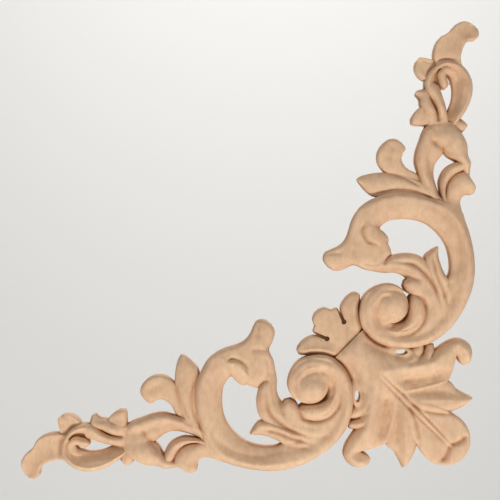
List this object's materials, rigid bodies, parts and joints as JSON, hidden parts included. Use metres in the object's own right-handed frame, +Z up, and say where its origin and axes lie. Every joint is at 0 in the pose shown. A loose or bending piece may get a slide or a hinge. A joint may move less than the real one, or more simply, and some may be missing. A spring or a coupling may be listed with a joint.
{
  "type": "corner wood applique",
  "caption": "Carved wooden corner applique: a leaf at the corner, scrolls with volutes and rings, and slim leafy arms along both sides, with a flat back for gluing on.",
  "frame": {"origin": "on the flat back, in the corner leaf, 48 mm in from both outer lines of the corner", "axes": "-Y towards the carved front, +Y into the wall or panel behind it, +Z up along the upright arm, -X along the side arm"},
  "size_m": [0.239, 0.017, 0.2387],
  "materials": {
    "bare_wood": "sanded, unfinished"
  },
  "bodies": {
    "root": {"corner_applique": "bare_wood"}
  },
  "joints": []
}
